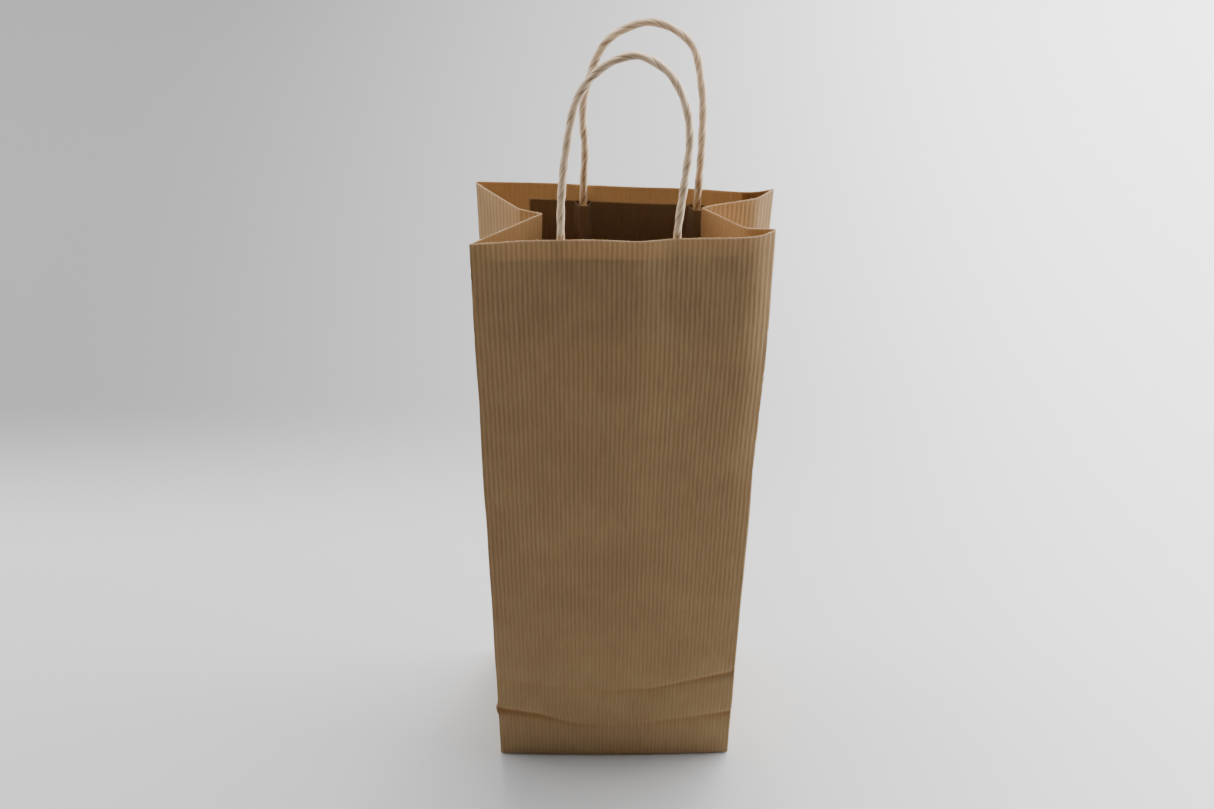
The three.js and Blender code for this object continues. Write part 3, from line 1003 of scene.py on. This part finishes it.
def makeWall(wall):
    heights = rowHeights()
    under = footRows(wall)
    grid = np.array([*under, *(sectionRow(wall, z) for z in heights)])
    softenFolds(grid, len(under), heights)
    columns = grid.shape[1]
    half = sheetGrid["halfColumns"]
    column = np.arange(columns)
    fromEnd = np.minimum(column, columns - 1 - column) * columnWidth
    levels = np.concatenate([np.linspace(-sheetRows["under"], 0, len(under)), heights])
    across, up = np.meshgrid(column * columnWidth, levels)
    free = np.clip(fromEnd / sheetGrid["stiffEdge"], 0, 1) * np.clip(up / sheetGrid["stiffFoot"], 0, 1)
    rim = np.zeros_like(up)
    rim[-1] = 1
    if wall == "front":
        rim[-1, sheetGrid["nickColumn"]] = sheetGrid["nick"]
    grid = withRelief(grid, across, up, free, rim, kraftRibbed)
    offset = halfThickness(grid)
    shareCreases(wall, offset)

    wear = np.maximum(wearFrom("corner", abs(fromEnd - half * columnWidth)), wearFrom("crease", fromEnd))
    wear = np.maximum(wear, wearFrom("foot", np.maximum(up, 0)))
    wear = np.maximum(wear, wearFrom("tornRim", bagHeight - up))
    # painted light along the storage folds, on the front panel only
    tint = np.zeros_like(up)
    if wall == "front":
        panel = slice(half, columns - half)
        for row, z in enumerate(heights, len(under)):
            tint[row, panel] = foldGlowAt(grid[row, panel, 0], z)
    sheet = closedSheet(wall + "_wall_sheet", grid, offset, across, up, wear, kraftRibbed, tint)
    gusset = "_gusset_front" if wall == "front" else "_gusset_rear"
    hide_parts(wall + "_panel", "left" + gusset, "right" + gusset)
    blendWall(sheet, wall)


for wallName in towards:
    makeWall(wallName)
print("walls made")


# patches that hold the cords, on the inside of each panel

patchShape = {
    "height": 0.050,
    "rows": 24,
    "outerDepth": 0.00036,  # panel's middle to the outer ply's middle
    "innerDepth": 0.00070,
    "bumpTop": 0.00445,  # panel's middle to the inner ply over a cord
    "bumpFlat": 0.0013,  # half widths of the bump, at its top and its foot
    "bumpFoot": 0.0048,
    "bumpStart": 0.344,  # height where the bump begins
    "bumpEase": 0.008,
}


def smoothStep(value):
    value = np.clip(value, 0, 1)
    return value * value * (3 - 2 * value)


def patchDepth(ply, legs, x, z):
    if ply == "outer":
        return patchShape["outerDepth"] + 0 * x
    nearest = np.min([abs(x - leg) for leg in legs], axis=0)
    span = patchShape["bumpFoot"] - patchShape["bumpFlat"]
    rise = smoothStep((patchShape["bumpFoot"] - nearest) / span)
    rise = rise * smoothStep((z - patchShape["bumpStart"]) / patchShape["bumpEase"])
    return mix(patchShape["innerDepth"], patchShape["bumpTop"], rise)


def makePatch(wall, ply):
    handle = handles[wall]
    columns = int(round(handle["patchWidth"] / columnWidth)) + 1
    x = handle["patchCentre"] + handle["patchWidth"] * np.linspace(-0.5, 0.5, columns)
    if wall == "back":
        x = x[::-1]
    heights = handle["patchBottom"] + np.linspace(0, patchShape["height"], patchShape["rows"])
    grid = np.array([
        panelPoints(wall, shareAtX(wall, x, z), z, patchDepth(ply, handle["legs"], x, z)) for z in heights])
    fromCrease = sheetGrid["halfColumns"] * columnWidth + abs(x - towards[wall] * footX)
    across, up = np.meshgrid(fromCrease, heights)
    ones = np.ones_like(up)
    grid = withRelief(grid, across, up, ones, 0 * ones, kraftPatch)
    offset = halfThickness(grid)
    fromEdge = np.minimum(np.arange(columns), columns - 1 - np.arange(columns)) * columnWidth
    wear = wearFrom("patchEdge", fromEdge) * ones
    patch = closedSheet(wall + "_patch_" + ply + "_ply", grid, offset, across, up, wear, kraftPatch)
    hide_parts(wall + "_patch_" + ply)
    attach(patch, wall + "_wall")


for wallName in towards:
    for plyName in ("outer", "inner"):
        makePatch(wallName, plyName)
print("patches made")


# seam: the lap that closes the tube, outside the back panel's right edge

seam = {
    "width": 0.015,
    "depth": -0.00036,  # outside the panel
    "clear": 0.0012,  # gap to the corner fold
    "foot": 0.0025,
    "shortfall": 0.0004,  # its rim lies this far below the bag's
    "rows": 60,
}


def makeSeam():
    panelWidth = 2 * footX
    columns = int(round((seam["width"] - seam["clear"]) / columnWidth)) + 1
    u = 1 - np.linspace(seam["clear"], seam["width"], columns) / panelWidth
    heights = np.linspace(seam["foot"], bagHeight - seam["shortfall"], seam["rows"])
    grid = np.array([panelPoints("back", u, z, seam["depth"]) for z in heights])
    fromCrease = sheetGrid["halfColumns"] * columnWidth + (1 - u) * panelWidth
    across, up = np.meshgrid(fromCrease, heights)
    rim = np.zeros_like(up)
    rim[-1] = 1
    grid = withRelief(grid, across, up, np.clip(up / sheetGrid["stiffFoot"], 0, 1), rim, kraftRibbed)
    wear = wearFrom("flapEdge", across.max() - across)
    lap = closedSheet("seam_lap", grid, halfThickness(grid), across, up, wear, kraftRibbed)
    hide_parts("seam_flap")
    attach(lap, "back_wall")


makeSeam()


# folded bottom: two tucks under the gussets, two long flaps lapped outside them

bottom = {
    "lap": 0.012,  # how far each long flap passes the middle
    "start": 0.0021,  # from the base's edge to where a flap's own sheet begins
    "lapGap": 0.00004,
    "lapRise": (-0.016, 0.004),  # where the upper flap starts to rise, and over what length
    "tuckRise": (0.003, 0.006),
    "tuckClimb": 0.0005,  # tucks lie higher beyond that
    "ripple": 0.00004,
    "rippleTurns": (130, 170),  # radians for each metre
    "rows": 34,
    "columns": 72,
}


# quarter turns about the bag's upright axis
def turned(points, quarters):
    for quarter in range(quarters):
        points = np.stack([-points[..., 1], points[..., 0], points[..., 2]], axis=-1)
    return points


# a flat sheet whose rows run from the fold to the tip; its outer face looks down
def makeFlap(name, distances, edgeAt, heightAt, quarters, material):
    share = np.linspace(1, -1, bottom["columns"])
    x = np.array([edgeAt(distance) for distance in distances])[:, None] * share
    y = np.tile(distances[:, None], (1, len(share)))
    grid = turned(np.stack([x, y, heightAt(y)], axis=-1), quarters)
    turnX, turnY = bottom["rippleTurns"]
    grid[..., 2] += np.sin(grid[..., 0] * turnX) * np.sin(grid[..., 1] * turnY) * bottom["ripple"]
    wear = wearFrom("flapEdge", distances[-1] - y)
    return closedSheet(name, grid, halfThickness(grid), x + 0.2, y + 0.5, wear, material)


def longFlapEdge(distance):
    return footX - bottom["start"] - max(0, min(distance, 0) + footY - bottom["start"])


def tuckEdge(distance):
    return max(footY - bottom["start"] - (distance + footX - bottom["start"]), bottom["lap"])


def frontFlapHeight(distance):
    return bag["paper"] / 2 + 0 * distance


def backFlapHeight(distance):
    start, length = bottom["lapRise"]
    return bag["paper"] / 2 + (bag["paper"] + bottom["lapGap"]) * smoothStep((distance - start) / length)


def tuckHeight(distance):
    start, length = bottom["tuckRise"]
    rise = smoothStep((distance + footX - start) / length)
    return bag["paper"] / 2 + sheetGrid["tuckLift"] + rise * bottom["tuckClimb"]


def makeBottom():
    longRows = np.linspace(-footY + bottom["start"], bottom["lap"], bottom["rows"])
    tuckRows = np.linspace(-footX + bottom["start"], -footX + footY + bottom["lap"], bottom["rows"])
    for end, quarters, heightAt in (("front", 0, frontFlapHeight), ("back", 2, backFlapHeight)):
        flap = makeFlap("bottom_" + end + "_flap", longRows, longFlapEdge, heightAt, quarters, kraftRibbed)
        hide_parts("bottom_flap_" + end)
        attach(flap, "root")
    for hand, quarters in (("left", 3), ("right", 1)):
        tuck = makeFlap("bottom_" + hand + "_tuck", tuckRows, tuckEdge, tuckHeight, quarters, kraftInside)
        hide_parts("bottom_tuck_" + hand)
        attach(tuck, "root")


makeBottom()
print("bottom made")


# floor and light

studio = {
    "floor": (0.62, 0.62, 0.625),
    # painted light to the right and painted shade far back on the left
    "floorLitRight": (0.94, 0.94, 0.95),
    "floorShadeFarLeft": (0.238, 0.238, 0.24),
    "floorGrain": (0.5, 0.5, 0.5),
    "floorSize": 60.0,
    "floorDrop": 0.0002,
    "airColour": (0.96, 0.975, 1.0),
    "airFront": 0.06,  # brightness of the room before and behind the bag
    "airBack": 0.48,
    "aim": (0, 0, 0.2),
}
# place, width and height, power
studioLights = {
    "rightBackWindow": ((1.1, 1.0, 0.6), (1.0, 0.8), 31.0),
    "rightHigh": ((1.2, 0.25, 1.4), (0.9, 0.9), 12.5),
    "rightLow": ((1.5, 0.4, 0.25), (1.4, 0.5), 4.0),
    "leftBack": ((-1.1, 1.0, 0.6), (1.0, 0.8), 8.5),
    "leftHigh": ((-1.2, 0.25, 1.4), (0.9, 0.9), 5.0),
    "overBack": ((0.1, 0.8, 1.6), (0.9, 0.7), 31.0),
    "leftSide": ((-1.4, 0.22, 0.45), (0.5, 0.8), 11.5),
    "rightSide": ((1.4, 0.22, 0.45), (0.5, 0.8), 20.0),
}


# painted light and shade: the floor is drawn paler to the right, where the light is stronger, and darker far
# back on the left, where less light falls
def paleFloor():
    material, graph = newMaterial("paleFloor")
    place = graph.add("ShaderNodeTexCoord", {}, {}, "Object")
    split = graph.add("ShaderNodeSeparateXYZ", {}, {0: place})
    x, y = split.out("X"), split.out("Y")
    grain = graph.noise(place, 1.6, 2.0)
    right = graph.step(x, 0.0, 0.45)
    shadeFarLeft = (1 - graph.step(x, -0.45, 0.35)) * graph.step(y, 0.12, 0.28)
    shadeFarLeft = shadeFarLeft * (1 - graph.step(graph.vectorMath("LENGTH", {0: place}, "Value"), 1.5, 3.0))
    shade = graph.blendColour(right, studio["floor"], studio["floorLitRight"])
    shade = graph.blendColour(shadeFarLeft, shade, studio["floorShadeFarLeft"])
    shade = graph.blendColour((grain - 0.5) * 0.06 + 0.03, shade, studio["floorGrain"])
    closeShader(graph, graph.add("ShaderNodeBsdfPrincipled", {}, {
        "Base Color": shade, "Roughness": 0.75, "Specular IOR Level": 0.2}))
    return material


def makeFloor():
    reach, drop = studio["floorSize"], -studio["floorDrop"]
    corners = [(-reach, -reach, drop), (reach, -reach, drop), (reach, reach, drop), (-reach, reach, drop)]
    floor = addObject("floor", meshFrom("floor", corners, [(0, 1, 2, 3)]))
    floor.data.materials.append(paleFloor())


def areaLight(name, place, size, power):
    data = bpy.data.lights.new(name, "AREA")
    data.shape = "RECTANGLE"
    data.size, data.size_y = size
    data.energy = power
    lamp = bpy.data.objects.new(name, data)
    lamp.location = place
    lamp.rotation_euler = (Vector(studio["aim"]) - Vector(place)).to_track_quat("-Z", "Y").to_euler()
    lamp.visible_camera = False
    collection.objects.link(lamp)


# the room is dim before the bag and brighter behind it
def makeAir():
    world = bpy.data.worlds.new("studioAir")
    bpy.context.scene.world = world
    world.use_nodes = True
    air = Graph(world.node_tree)
    direction = air.add("ShaderNodeTexCoord", {}, {}, "Generated")
    behind = air.step(air.add("ShaderNodeSeparateXYZ", {}, {0: direction}, "Y"), -0.35, 0.75)
    strength = studio["airFront"] + behind * (studio["airBack"] - studio["airFront"])
    light = air.add("ShaderNodeBackground", {}, {"Color": studio["airColour"], "Strength": strength})
    closeShader(air, light, "World")


makeFloor()
for lightName, (lightPlace, lightSize, lightPower) in studioLights.items():
    areaLight(lightName, lightPlace, lightSize, lightPower)
makeAir()
print("studio made")
